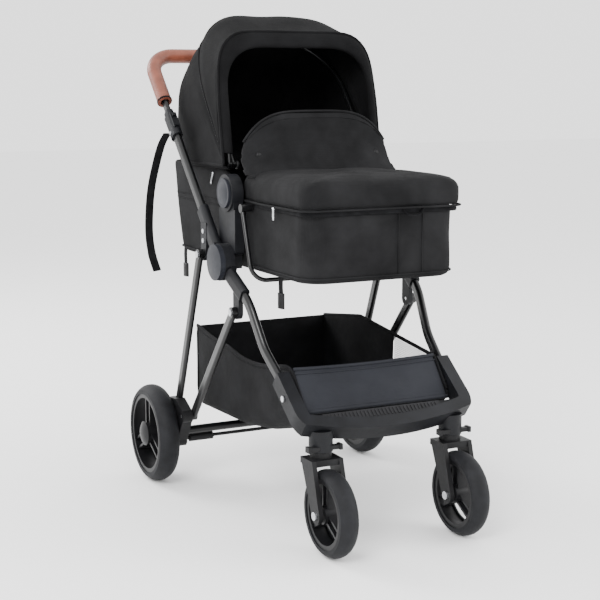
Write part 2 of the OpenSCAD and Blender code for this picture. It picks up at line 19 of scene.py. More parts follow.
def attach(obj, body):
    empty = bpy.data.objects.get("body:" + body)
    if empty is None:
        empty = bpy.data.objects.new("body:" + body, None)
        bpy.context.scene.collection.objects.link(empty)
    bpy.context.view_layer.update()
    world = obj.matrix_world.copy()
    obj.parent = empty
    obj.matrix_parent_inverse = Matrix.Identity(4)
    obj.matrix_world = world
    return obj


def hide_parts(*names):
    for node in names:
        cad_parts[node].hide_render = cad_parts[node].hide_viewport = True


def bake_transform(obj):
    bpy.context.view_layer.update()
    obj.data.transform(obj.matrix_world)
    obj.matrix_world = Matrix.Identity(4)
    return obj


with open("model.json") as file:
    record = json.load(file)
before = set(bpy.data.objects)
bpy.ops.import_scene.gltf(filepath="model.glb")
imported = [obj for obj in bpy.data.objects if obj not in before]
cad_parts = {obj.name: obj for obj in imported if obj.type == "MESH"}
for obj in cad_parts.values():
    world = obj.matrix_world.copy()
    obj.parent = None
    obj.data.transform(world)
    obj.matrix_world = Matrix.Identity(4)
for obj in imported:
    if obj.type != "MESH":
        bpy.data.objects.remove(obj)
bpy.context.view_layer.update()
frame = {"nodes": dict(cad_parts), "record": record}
LOG = logging.getLogger("stroller")

Point = Vector
Rows = list[list[Vector]]
Colour = tuple[float, float, float]


class Body(Enum):
    """Moving bodies that the made pieces ride on."""

    FRONT_FRAME = "front_frame"
    HANDLE_FRAME = "handle_frame"
    HANDLE = "handle"
    COT = "cot"
    HOOD_REAR = "hood_rear"
    HOOD_FRONT = "hood_front"


class Side(Enum):
    """Side of the stroller, as the sign of X."""

    RIGHT = -1
    LEFT = 1


# --- finishes ---------------------------------------------------------------------------------


@dataclass(frozen=True)
class Finish:
    """A surface: two colours that mottle, a roughness, and what the surface is made of.

    Subclasses add the relief of their own material in relief().
    """

    name: str
    dark: Colour
    light: Colour
    roughness: float
    mottle: float = 30.0
    metallic: float = 0.0
    coat: float = 0.0
    shine: float = 0.5

    def make(self) -> bpy.types.Material:
        """Builds the node material."""
        material = bpy.data.materials.new(self.name)
        material.use_nodes = True
        tree = material.node_tree
        shader = tree.nodes["Principled BSDF"]
        shader.inputs["Metallic"].default_value = self.metallic
        shader.inputs["Coat Weight"].default_value = self.coat
        shader.inputs["Coat Roughness"].default_value = 0.12
        shader.inputs["Specular IOR Level"].default_value = self.shine
        place = tree.nodes.new("ShaderNodeTexCoord").outputs["Object"]
        cloud = self.noise(tree, place, self.mottle, 4.0)
        ramp = tree.nodes.new("ShaderNodeValToRGB")
        ramp.color_ramp.elements[0].position = 0.32
        ramp.color_ramp.elements[1].position = 0.70
        ramp.color_ramp.elements[0].color = (*self.dark, 1.0)
        ramp.color_ramp.elements[1].color = (*self.light, 1.0)
        tree.links.new(cloud, ramp.inputs["Fac"])
        tree.links.new(ramp.outputs["Color"], shader.inputs["Base Color"])
        spread = tree.nodes.new("ShaderNodeMapRange")
        spread.inputs["To Min"].default_value = max(0.03, self.roughness - 0.07)
        spread.inputs["To Max"].default_value = min(1.0, self.roughness + 0.08)
        tree.links.new(self.noise(tree, place, self.mottle * 5, 3.0), spread.inputs["Value"])
        tree.links.new(spread.outputs["Result"], shader.inputs["Roughness"])
        height, strength, depth = self.relief(tree, place)
        bump = tree.nodes.new("ShaderNodeBump")
        bump.inputs["Strength"].default_value = strength
        bump.inputs["Distance"].default_value = depth
        tree.links.new(height, bump.inputs["Height"])
        tree.links.new(bump.outputs["Normal"], shader.inputs["Normal"])
        return material

    def relief(self, tree: bpy.types.NodeTree, place: bpy.types.NodeSocket) -> tuple:
        """Fine moulded grain.

        Returns:
            The height socket, the bump's strength and its depth.
        """
        return self.noise(tree, place, 900.0, 2.0), 0.15, 0.0004

    @staticmethod
    def noise(tree: bpy.types.NodeTree, place: bpy.types.NodeSocket, scale: float, detail: float):
        """Noise of a scale, as a value socket."""
        node = tree.nodes.new("ShaderNodeTexNoise")
        node.inputs["Scale"].default_value = scale
        node.inputs["Detail"].default_value = detail
        tree.links.new(place, node.inputs["Vector"])
        return node.outputs["Fac"]


@dataclass(frozen=True)
class Woven(Finish):
    """Cloth with yarns that cross; pitch is the distance between two yarns."""

    pitch: float = 0.0022
    strength: float = 0.35

    def relief(self, tree: bpy.types.NodeTree, place: bpy.types.NodeSocket) -> tuple:
        """Yarns along each axis, so that every side of a piece shows a crossing weave."""
        total = None
        for axis in ("X", "Y", "Z"):
            wave = tree.nodes.new("ShaderNodeTexWave")
            wave.bands_direction = axis
            wave.inputs["Scale"].default_value = math.pi / 10 / self.pitch
            wave.inputs["Distortion"].default_value = 0.4
            tree.links.new(place, wave.inputs["Vector"])
            if total is None:
                total = wave.outputs["Fac"]
                continue
            add = tree.nodes.new("ShaderNodeMath")
            add.operation = "ADD"
            tree.links.new(total, add.inputs[0])
            tree.links.new(wave.outputs["Fac"], add.inputs[1])
            total = add.outputs["Value"]
        return total, self.strength, 0.0005


@dataclass(frozen=True)
class Leather(Finish):
    """Grained leather cover."""

    def relief(self, tree: bpy.types.NodeTree, place: bpy.types.NodeSocket) -> tuple:
        """Pebbled grain with creases between the pebbles."""
        cells = tree.nodes.new("ShaderNodeTexVoronoi")
        cells.feature = "DISTANCE_TO_EDGE"
        cells.inputs["Scale"].default_value = 330.0
        tree.links.new(place, cells.inputs["Vector"])
        return cells.outputs["Distance"], 0.45, 0.0006


@dataclass(frozen=True)
class Rubber(Finish):
    """Foam tyre skin or ribbed tread."""

    def relief(self, tree: bpy.types.NodeTree, place: bpy.types.NodeSocket) -> tuple:
        """Pitted skin."""
        return self.noise(tree, place, 420.0, 5.0), 0.3, 0.0007


FINISHES: dict[str, Finish] = {
    "black_tube": Finish("gloss_black_tube", (0.0022, 0.0022, 0.0025), (0.0050, 0.0052, 0.0056), 0.30, 18,
                         coat=0.12, shine=0.3),
    "moulded_plastic": Finish("moulded_plastic", (0.0034, 0.0036, 0.0045), (0.0072, 0.0076, 0.0095), 0.50, 25,
                              shine=0.2),
    "cap_plastic": Finish("cap_plastic", (0.0095, 0.0105, 0.0145), (0.0150, 0.0165, 0.0215), 0.46, 25,
                          shine=0.2),
    "bracket_plastic": Finish("bracket_plastic", (0.0026, 0.0026, 0.0030), (0.0058, 0.0058, 0.0066), 0.50, 25,
                              shine=0.22),
    "tyre_foam": Rubber("foam_tyre", (0.0044, 0.0046, 0.0056), (0.0090, 0.0094, 0.0112), 0.66, 40, shine=0.2),
    "rim_plastic": Finish("rim_plastic", (0.0028, 0.0028, 0.0033), (0.0062, 0.0062, 0.0072), 0.42, 25,
                          shine=0.25),
    "bright_steel": Finish("bright_steel", (0.50, 0.51, 0.53), (0.68, 0.69, 0.71), 0.30, 120, metallic=1.0),
    "tan_leather": Leather("stitched_leather", (0.125, 0.029, 0.014), (0.195, 0.052, 0.027), 0.50, 45,
                           coat=0.05),
    "webbing": Woven("webbing", (0.003, 0.003, 0.0035), (0.008, 0.008, 0.009), 0.85, 60, shine=0.10,
                     pitch=0.0024),
    "mattress_cover": Woven("mattress_cover", (0.030, 0.030, 0.033), (0.05, 0.05, 0.054), 0.88, 20,
                            shine=0.12),
    "black_canvas": Woven("cot_canvas", (0.0048, 0.0048, 0.0052), (0.0120, 0.0120, 0.0128), 0.88, 14,
                          shine=0.12),
    "hood_canvas": Woven("hood_canvas", (0.0022, 0.0022, 0.0025), (0.0062, 0.0062, 0.0067), 0.88, 12,
                         shine=0.09),
    "basket_nylon": Woven("basket_nylon", (0.0028, 0.0028, 0.0032), (0.0075, 0.0076, 0.0086), 0.8, 16,
                          shine=0.12, pitch=0.0018),
    "basket_panel": Woven("basket_panel", (0.0090, 0.0098, 0.0132), (0.0150, 0.0162, 0.0210), 0.72, 9,
                          shine=0.2, pitch=0.0016),
    "open_mesh": Woven("open_mesh", (0.30, 0.30, 0.31), (0.42, 0.42, 0.43), 0.8, 30, shine=0.15,
                       pitch=0.0016),
    "tread_rubber": Rubber("tread_rubber", (0.006, 0.006, 0.007), (0.012, 0.012, 0.014), 0.72, 50, shine=0.3),
}


class Wardrobe:
    """Makes each finish once and hands it out by its slot."""

    def __init__(self) -> None:
        """Builds every finish."""
        self.materials = {name: finish.make() for name, finish in FINISHES.items()}

    def dress(self, piece: bpy.types.Object, name: str) -> None:
        """Gives a piece a finish.

        Args:
            piece: The object to dress.
            name: The finish's name: a slot of the record, or a key of FINISHES.
        """
        piece.data.materials.clear()
        piece.data.materials.append(self.materials[name])

    def dress_frame(self) -> None:
        """Gives every node of the frame the finish of its own slot."""
        for part in frame["record"]["subparts"]:
            self.dress(frame["nodes"][part["node"]], part["material_slot"])
            LOG.info("frame node %s: %s", part["node"], part["material_slot"])


# --- mesh work --------------------------------------------------------------------------------


def lofted(name: str, rows: Rows, ring: bool = False, capped: bool = False) -> bpy.types.Object:
    """Skin over rows of points.

    Args:
        name: The piece's name.
        rows: Rows of the same number of points.
        ring: Whether each row closes on itself.
        capped: Whether the first and last rows are closed with a face.

    Returns:
        The new object.
    """
    mesh = bmesh.new()
    verts = [[mesh.verts.new(p) for p in row] for row in rows]
    width = len(rows[0])
    for low, high in zip(verts, verts[1:]):
        for j in range(width if ring else width - 1):
            k = (j + 1) % width
            mesh.faces.new((low[j], low[k], high[k], high[j]))
    if capped:
        mesh.faces.new(verts[0][::-1])
        mesh.faces.new(verts[-1])
    bmesh.ops.remove_doubles(mesh, verts=mesh.verts, dist=1e-5)
    bmesh.ops.recalc_face_normals(mesh, faces=mesh.faces)
    data = bpy.data.meshes.new(name)
    mesh.to_mesh(data)
    mesh.free()
    for face in data.polygons:
        face.use_smooth = True
    piece = bpy.data.objects.new(name, data)
    bpy.context.scene.collection.objects.link(piece)
    return piece


def joined(name: str, parts: Sequence[bpy.types.Object]) -> bpy.types.Object:
    """Several pieces made into one object."""
    mesh = bmesh.new()
    for part in parts:
        mesh.from_mesh(part.data)
        bpy.data.objects.remove(part)
    data = bpy.data.meshes.new(name)
    mesh.to_mesh(data)
    mesh.free()
    for face in data.polygons:
        face.use_smooth = True
    piece = bpy.data.objects.new(name, data)
    bpy.context.scene.collection.objects.link(piece)
    return piece


def settled(piece: bpy.types.Object, wall: float = 0.0, rounds: int = 0) -> bpy.types.Object:
    """Gives a skin its thickness and rounding, and makes both final.

    Args:
        piece: The skin.
        wall: Thickness, laid inwards.
        rounds: Number of subdivisions.

    Returns:
        The same object with a final mesh.
    """
    if wall:
        solid = piece.modifiers.new("wall", "SOLIDIFY")
        solid.thickness = wall
        solid.offset = -1.0
    if rounds:
        smooth = piece.modifiers.new("round", "SUBSURF")
        smooth.levels = smooth.render_levels = rounds
    return applied(piece)


def applied(piece: bpy.types.Object) -> bpy.types.Object:
    """Bakes a piece's modifiers into its mesh."""
    bpy.context.view_layer.update()
    done = piece.evaluated_get(bpy.context.evaluated_depsgraph_get())
    piece.data = bpy.data.meshes.new_from_object(done)
    piece.modifiers.clear()
    for face in piece.data.polygons:
        face.use_smooth = True
    return piece


def smooth_line(corners: Sequence[Point], steps: int = 6) -> list[Vector]:
    """Smooth line through corner points."""
    points = []
    last = len(corners) - 1
    for i in range(last):
        a, b, c, d = (corners[max(0, min(last, i + k))] for k in (-1, 0, 1, 2))
        for s in range(steps):
            t = s / steps
            points.append(0.5 * (2 * b + (c - a) * t + (2 * a - 5 * b + 4 * c - d) * t * t
                                 + (3 * b - a - 3 * c + d) * t ** 3))
    points.append(Vector(corners[-1]))
    return points


def swept(name: str, line: Sequence[Point], wide: float, thick: float, across: Vector,
          sides: int = 10, closed: bool = False) -> bpy.types.Object:
    """Oval section swept along a line.

    Args:
        name: The piece's name.
        line: The points of its middle line.
        wide: Width along the across direction.
        thick: Thickness.
        across: Direction the width is laid in.
        sides: Points round the section.
        closed: Whether the line is a loop.

    Returns:
        The new object.
    """
    rows = []
    last = len(line) - 1
    for i, point in enumerate(line):
        before = line[i - 1] if i or closed else line[0]
        after = line[(i + 1) % len(line)] if i < last or closed else line[last]
        along = (after - before).normalized()
        normal = along.cross(across).normalized()
        width = normal.cross(along).normalized()
        rows.append([point + width * (wide / 2 * math.cos(a)) + normal * (thick / 2 * math.sin(a))
                     for a in (2 * math.pi * k / sides for k in range(sides))])
    if closed:
        rows.append(list(rows[0]))
    return lofted(name, rows, ring=True, capped=not closed)


def stitched(name: str, line: Sequence[Point], across: Vector, stitch: float = 0.005,
             thread: float = 0.0009) -> bpy.types.Object:
    """Row of separate stitches along a line."""
    parts, walked = [], 0.0
    for a, b in zip(line, line[1:]):
        step = (b - a).length
        while walked < step:
            start = a + (b - a) * (walked / step)
            end = start + (b - a).normalized() * stitch * 0.6
            parts.append(swept(name, [start, (start + end) / 2, end], thread, thread, across, 6))
            walked += stitch
        walked -= step
    return joined(name, parts)


def turned(name: str, centre: Vector, profile: Sequence[tuple[float, float]], side: Side,
           around: int = 40) -> bpy.types.Object:
    """Round piece turned about the X direction.

    Args:
        name: The piece's name.
        centre: Where the axis starts.
        profile: Pairs of distance outwards along X and radius.
        side: Which way is outwards.
        around: Points round the axis.

    Returns:
        The new object.
    """
    rows = []
    for out, radius in profile:
        rows.append([centre + Vector((side.value * out, radius * math.cos(a), radius * math.sin(a)))
                     for a in (2 * math.pi * k / around for k in range(around))])
    return lofted(name, rows, ring=True, capped=True)


def padded_by_cloth(piece: bpy.types.Object, voxel: float, pressure: float, cap: float) -> None:
    """Swells a closed shape as a stuffed cover does, and keeps the result.

    Args:
        piece: The closed shape, which changes.
        voxel: Size of the cloth's mesh.
        pressure: Pressure inside.
        cap: Furthest that a point may move.
    """
    remesh = piece.modifiers.new("remesh", "REMESH")
    remesh.mode = "VOXEL"
    remesh.voxel_size = voxel
    applied(piece)
    rest = [v.co.copy() for v in piece.data.vertices]
    cloth = piece.modifiers.new("cloth", "CLOTH")
    cloth.settings.use_pressure = True
    cloth.settings.uniform_pressure_force = pressure
    cloth.settings.effector_weights.gravity = 0.0
    cloth.settings.quality = 5
    scene = bpy.context.scene
    for step in range(1, 21):
        scene.frame_set(step)
    applied(piece)
    for vertex, was in zip(piece.data.vertices, rest):
        moved = vertex.co - was
        if moved.length > cap:
            vertex.co = was + moved.normalized() * cap
    scene.frame_set(1)


def settle_on(piece: bpy.types.Object, body: Body, wardrobe: Wardrobe, finish: str,
              *replaced: str) -> bpy.types.Object:
    """Dresses a piece and body, and reports it.

    Args:
        piece: The finished mesh.
        body: The body it moves with.
        wardrobe: Where its finish comes from.
        finish: The finish's name.
        replaced: The frame nodes it stands for.

    Returns:
        The piece.
    """
    wardrobe.dress(piece, finish)
    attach(piece, body.value)
    if replaced:
        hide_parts(*replaced)
    LOG.info("%s on %s", piece.name, body.value)
    return piece


def opened(loop: Sequence[Sequence[float]]) -> list:
    """Points of a loop with a gap in it, in order from one side of the gap to the other."""
    start = max(range(len(loop)), key=lambda i: math.dist(loop[i], loop[i - 1]))
    return [*loop[start:], *loop[:start]]


def rounded_box(half: Callable[[float], float], front: float, rear: float, corner: float,
                arc: int = 10, run: int = 14) -> list[tuple[float, float]]:
    """Outline with round corners, as (x, y) points.

    Args:
        half: Half width at a distance y.
        front: Front end.
        rear: Rear end.
        corner: Radius of the corners.
        arc: Number of points round a corner.
        run: Number of steps along a side.

    Returns:
        The outline's points in order.
    """
    corners = []
    for sign, y, start in ((1, rear - corner, 0), (-1, rear - corner, 90), (-1, front + corner, 180),
                           (1, front + corner, 270)):
        turn = []
        for k in range(arc):
            a = math.radians(start + 90 * k / (arc - 1))
            at_y = y + corner * math.sin(a)
            turn.append((sign * (half(at_y) - corner) + corner * math.cos(a), at_y))
        corners.append(turn)
    points = []
    for k, turn in enumerate(corners):
        points += turn
        (x0, y0), (x1, y1) = turn[-1], corners[(k + 1) % 4][0]
        for step in range(1, run):
            x, y = x0 + (x1 - x0) * step / run, y0 + (y1 - y0) * step / run
            points.append((math.copysign(half(y), x) if k % 2 else x, y))
    return points


# --- sub-assemblies ---------------------------------------------------------------------------


@dataclass
class Studio:
    """Pale floor, soft lights and the camera."""

    eye: Vector = field(default_factory=lambda: Vector((-1.267, -2.475, 0.878)))
    back: Vector = field(default_factory=lambda: Vector((-0.441, -0.883, 0.160)))
    lens: float = 79.9
    floor_size: float = 30.0
    floor_tone: float = 0.93
    sky: float = 2.1

    def build(self) -> None:
        """Sets the camera first, then the floor, the sky and the lamps."""
        camera = bpy.data.cameras.new("camera")
        camera.lens = self.lens
        camera.sensor_width = 36.0
        seat = bpy.data.objects.new("camera", camera)
        seat.location = self.eye
        seat.rotation_euler = (-self.back).to_track_quat("-Z", "Y").to_euler()
        bpy.context.scene.collection.objects.link(seat)
        bpy.context.scene.camera = seat
        half = self.floor_size / 2
        floor = lofted("floor", [[Vector((x, y, -0.0005)) for x in (-half, half)] for y in (-half, half)])
        pale = bpy.data.materials.new("pale_floor")
        pale.use_nodes = True
        shader = pale.node_tree.nodes["Principled BSDF"]
        shader.inputs["Base Color"].default_value = (self.floor_tone, self.floor_tone, self.floor_tone, 1)
        shader.inputs["Roughness"].default_value = 0.9
        floor.data.materials.append(pale)
        world = bpy.data.worlds.new("pale_room")
        world.use_nodes = True
        glow = world.node_tree.nodes["Background"]
        glow.inputs["Color"].default_value = (1, 1, 1, 1)
        glow.inputs["Strength"].default_value = self.sky
        bpy.context.scene.world = world
        self.lamp("key", Vector((-2.4, -2.2, 2.6)), 1.6, 130)
        self.lamp("fill", Vector((2.6, -1.8, 1.8)), 2.0, 60)
        self.lamp("rim", Vector((-1.6, 2.6, 2.2)), 1.4, 80)
        LOG.info("studio ready")

    @staticmethod
    def lamp(name: str, place: Vector, size: float, power: float) -> None:
        """Soft square lamp that faces the stroller."""
        light = bpy.data.lights.new(name, "AREA")
        light.size = size
        light.energy = power
        holder = bpy.data.objects.new(name, light)
        holder.location = place
        holder.rotation_euler = (Vector((0, 0, 0.55)) - place).to_track_quat("-Z", "Y").to_euler()
        bpy.context.scene.collection.objects.link(holder)


@dataclass
class Cot:
    """Fabric tub, its mattress, the apron and the wind flap."""

    wardrobe: Wardrobe
    half_x: float = 0.1675
    front: float = -0.300
    rear: float = 0.353
    bottom: float = 0.506
    seam: float = 0.645
    rim: float = 0.706
    lean: float = 0.048
    corner: float = 0.045
    middle: float = 0.02
    wall: float = 0.009
    apron_middle: float = -0.149
    apron_half: float = 0.1735
    flap_foot: float = 0.6900
    flap_tall: float = 0.1330
    flap_half: float = 0.177
    flap_y: float = -0.0085

    def rear_at(self, z: float) -> float:
        """Distance of the rear face at a height."""
        return self.rear + self.lean * (z - self.bottom) / (self.rim - self.bottom)

    def outline(self, z: float, inset: float = 0.0) -> list[tuple[float, float]]:
        """Outline of the tub at a height, drawn in by inset."""
        return rounded_box(lambda _: self.half_x - inset, self.front + inset, self.rear_at(z) - inset,
                           self.corner)

    def outwards(self, x: float, y: float) -> Vector:
        """Level direction from the middle of the tub to a point."""
        return Vector((x, y - self.middle, 0)).normalized()

    def top_at(self, y: float) -> float:
        """Height of the tub's edge, low under the apron and high under the hood."""
        step = max(0.0, min(1.0, (y - 0.005) / 0.035))
        return self.seam + 0.009 + (self.rim - self.seam - 0.007) * step * step * (3 - 2 * step)

    def build(self) -> None:
        """Makes the pieces from the inside out."""
        self.build_tub()
        self.build_sockets()
        self.build_mattress()
        self.build_apron()
        self.build_flap()
        self.build_straps()

    def build_tub(self) -> None:
        """Padded wall with puckers along its lower hem, and its floor."""
        rows = []
        for inset in (0.150, 0.090, 0.040, 0.012, 0.003):
            z = self.bottom + (0.0035 if inset < 0.01 else 0.0005)
            rows.append([Vector((x, y, z)) for x, y in self.outline(z, inset)])
        for step in range(1, 15):
            share = step / 14
            base = self.outline(self.bottom + 0.01)
            row = []
            for k, (_, y0) in enumerate(base):
                z = self.bottom + 0.006 + (self.top_at(y0) - self.bottom - 0.006) * share
                x, y = self.outline(z)[k]
                pucker = 0.0012 * math.sin(k * 1.9) * math.exp(-share * 7)
                slack = 0.0019 * math.sin(math.pi * share) * math.sin(k * 0.62 + share * 4)
                end = min(1.0, max(0.0, abs(y - self.middle) / 0.10 - 0.6))
                tuck = 0.0045 * max(0.0, min(1.0, (z - 0.640) / 0.010)) if y0 < 0.005 else 0.0
                inset = 0.0014 + tuck - (pucker + slack) * end
                row.append(Vector((x, y, z)) - self.outwards(x, y) * inset)
            rows.append(row)
        tub = settled(lofted("cot_tub", rows, ring=True), self.wall, 1)
        settle_on(tub, Body.COT, self.wardrobe, "black_canvas", "carrycot")
        edge = self.outline(self.bottom, 0.148)
        rings = [[Vector((x * s, self.middle + (y - self.middle) * s, self.bottom + 0.002)) for x, y in edge]
                 for s in (0.02, 0.5, 1.0)]
        floor = lofted("cot_floor", rings, ring=True)
        settle_on(settled(floor, 0.004), Body.COT, self.wardrobe, "black_canvas")
        self.build_seams()

    def build_seams(self) -> None:
        """Lower hem, double seam round the head end, seams down the front and the pull loop."""
        for number, height in enumerate((0.012, 0.121, 0.132)):
            z = self.bottom + height
            line = [Vector((x, y, z)) + self.outwards(x, y) * 0.0004 for x, y in self.outline(z)]
            front = opened([p for p in line if p.y <= -0.04])
            back = opened([p for p in line if p.y >= 0.06])
            thick = 0.0034 if number == 0 else 0.0016
            parts = (front, back) if number == 0 else (back,)
            pieces = [swept("seam", part, thick, thick, Vector((0, 0, 1)), 8) for part in parts]
            settle_on(joined(f"cot_seam_{number + 1}", pieces), Body.COT, self.wardrobe, "black_canvas")
        for number, x in enumerate((0.030, 0.083)):
            line = [Vector((x, self.front - 0.0002, z)) for z in (0.516, 0.55, 0.59, 0.63, 0.650)]
            settle_on(swept(f"cot_front_seam_{number + 1}", line, 0.0028, 0.0020, Vector((1, 0, 0)), 8),
                      Body.COT, self.wardrobe, "black_canvas")
        drape = ((0.036, 0, 0.644), (0.044, 0.003, 0.634), (0.060, 0.004, 0.631), (0.074, 0.003, 0.635),
                 (0.080, 0, 0.644))
        loop = [Vector((x, self.front - 0.004 - out, z)) for x, out, z in drape]
        settle_on(swept("cot_pull_loop", smooth_line(loop, 5), 0.008, 0.0024, Vector((0, 1, 0)), 10),
                  Body.COT, self.wardrobe, "webbing")

    def build_sockets(self) -> None:
        """Moulded sockets on the tub's sides: one for each seat post and one for each hood bow."""
        for side in Side:
            word = side.name.lower()
            seat = turned(f"cot_socket_{word}", Vector((side.value * 0.1655, 0.009, 0.660)),
                          ((0, 0.024), (0.0008, 0.026), (0.0052, 0.026), (0.0058, 0.0245), (0.0058, 0.0078),
                           (0.0225, 0.0078)), side)
            settle_on(seat, Body.COT, self.wardrobe, "moulded_plastic")
            ear = turned(f"hood_hinge_{word}", Vector((side.value * 0.1525, 0.042, 0.714)),
                         ((0, 0.0075), (0.0006, 0.0088), (0.0044, 0.0088), (0.0049, 0.008), (0.0049, 0.0024),
                          (0.0225, 0.0024)), side, 28)
            settle_on(ear, Body.COT, self.wardrobe, "bracket_plastic")

    def build_mattress(self) -> None:
        """Crowned pad on the floor of the tub."""
        rows = []
        for inset, z in ((0.14, 0.5195), (0.03, 0.5195), (0.0185, 0.524), (0.0175, 0.531), (0.021, 0.537),
                         (0.05, 0.5405), (0.14, 0.5415)):
            rows.append([Vector((x, y, z)) for x, y in self.outline(self.bottom, inset)])
        pad = lofted("cot_mattress", rows, ring=True, capped=True)
        padded_by_cloth(pad, 0.008, 3.0, 0.004)
        settle_on(pad, Body.COT, self.wardrobe, "mattress_cover", "mattress")

    def apron_outline(self, scale: float) -> list[tuple[float, float]]:
        """Outline of the apron, scaled about its middle."""
        def half(y: float) -> float:
            """Half width, a little narrower beside the seat posts."""
            return self.apron_half - 0.008 * max(0.0, min(1.0, (y + 0.12) / 0.10))
        return [(x * scale, self.apron_middle + (y - self.apron_middle) * scale)
                for x, y in rounded_box(half, -0.3055, 0.0075, 0.028)]

    def build_apron(self) -> None:
        """Padded cover over the foot end, with a lip that laps over the tub."""
        levels = ((0.10, 0.7065), (0.40, 0.7060), (0.68, 0.7040), (0.86, 0.6998), (0.94, 0.6952),
                  (0.98, 0.6885), (1.0, 0.6790), (1.002, 0.664), (0.998, 0.650), (0.988, 0.6430),
                  (0.955, 0.6430), (0.930, 0.653), (0.900, 0.670), (0.5, 0.679), (0.10, 0.679))
        rows = []
        for scale, z in levels:
            row = []
            for k, (x, y) in enumerate(self.apron_outline(scale)):
                wave = 0.0014 * math.sin(k * 0.5 + scale * 6) * (1 if z > 0.69 else 0.3)
                row.append(Vector((x, y, z + wave)))
            rows.append(row)
        cover = lofted("apron_cover", rows, ring=True, capped=True)
        padded_by_cloth(cover, 0.006, 4.0, 0.003)
        settle_on(cover, Body.COT, self.wardrobe, "black_canvas", "apron")
        edge = opened([(x, y) for x, y in self.apron_outline(1.0) if y < -0.02])
        for name, z, out, wide, thick, finish in (
                ("apron_piping", 0.6465, 0.0030, 0.0040, 0.0040, "black_canvas"),
                ("apron_zip", 0.6395, -0.0048, 0.0075, 0.0016, "webbing")):
            line = [Vector((x, y, z)) + Vector((x, y - self.apron_middle, 0)).normalized() * out
                    for x, y in edge]
            settle_on(swept(name, line, wide, thick, Vector((0, 0, 1)), 10), Body.COT, self.wardrobe, finish)
        pull = swept("apron_zip_pull", [Vector((-0.1765, -0.176, z)) for z in (0.646, 0.638, 0.628, 0.620)],
                     0.008, 0.0024, Vector((0, 1, 0)), 10)
        settle_on(pull, Body.COT, self.wardrobe, "bright_steel")

    def flap_point(self, u: float, v: float, face: int) -> Vector:
        """Point on the wind flap.

        Args:
            u: From -1 on the right to 1 on the left.
            v: From 0 at the foot to 1 at the top.
            face: -1 for the front face, 1 for the rear one, 0 for the middle.

        Returns:
            The point.
        """
        tall = self.flap_tall * (1 - 0.46 * u ** 4)
        wide = self.flap_half - 0.014 * v ** 2
        puff = 0.0034 + 0.0040 * (1 - u ** 6) * math.sin(math.pi * min(1.0, v * 0.9 + 0.08))
        snap = math.exp(-((abs(u) - 0.75) / 0.16) ** 2 - ((v - 0.42) / 0.22) ** 2)
        crease = 0.0012 * math.sin(u * 9 + v * 6) * (1 - v) - 0.0022 * snap
        middle = self.flap_y - 0.050 * (1 - v) ** 3
        return Vector((wide * u, middle + face * (puff + crease), self.flap_foot + tall * v))

    def build_flap(self) -> None:
        """Wind flap that rises from the rear of the apron and stands up."""
        rows = []
        for i in range(41):
            u = -1 + i / 20
            rows.append([self.flap_point(u, j / 14, -1) for j in range(15)]
                        + [self.flap_point(u, 1 - j / 14, 1) for j in range(15)])
        flap = lofted("wind_flap_panel", rows, ring=True, capped=True)
        padded_by_cloth(flap, 0.0045, 3.0, 0.0015)
        settle_on(flap, Body.COT, self.wardrobe, "black_canvas", "wind_flap")
        span = [-1 + i / 24 for i in range(49)]
        for name, reach, v, face, out, wide in (("wind_flap_piping", 1.0, 1.0, 0, 0.0, 0.0050),
                                                ("wind_flap_seam", 0.92, 0.90, -1, 0.0008, 0.0022)):
            edge = [self.flap_point(u * reach, v, face) + Vector((0, -out, 0.0006)) for u in span]
            settle_on(swept(name, edge, wide, wide, Vector((0, 1, 0)), 10), Body.COT, self.wardrobe,
                      "black_canvas")
        for side in Side:
            seat = self.flap_point(side.value * 0.78, 0.42, -1)
            line = [seat + Vector((0, -d, 0)) for d in (-0.001, 0.0010, 0.0022)]
            snap = swept(f"flap_snap_{side.name.lower()}", line, 0.011, 0.011, Vector((1, 0, 0)), 24)
            settle_on(snap, Body.COT, self.wardrobe, "bracket_plastic")

    def build_straps(self) -> None:
        """Webbing straps with buckles that hang under the tub."""
        x = -0.150
        for name, y in (("front", -0.156), ("rear", 0.345)):
            bends = [Vector((x, y, 0.509)), Vector((x, y + 0.002, 0.492)), Vector((x, y, 0.470))]
            line = smooth_line(bends, 5)
            settle_on(swept(f"cot_strap_{name}", line, 0.020, 0.0022, Vector((0, 1, 0)), 12),
                      Body.COT, self.wardrobe, "webbing")
            drop = [Vector((x, y, z)) for z in (0.474, 0.472, 0.458, 0.446, 0.444)]
            settle_on(swept(f"cot_buckle_{name}", drop, 0.025, 0.009, Vector((0, 1, 0)), 20),
                      Body.COT, self.wardrobe, "bracket_plastic")


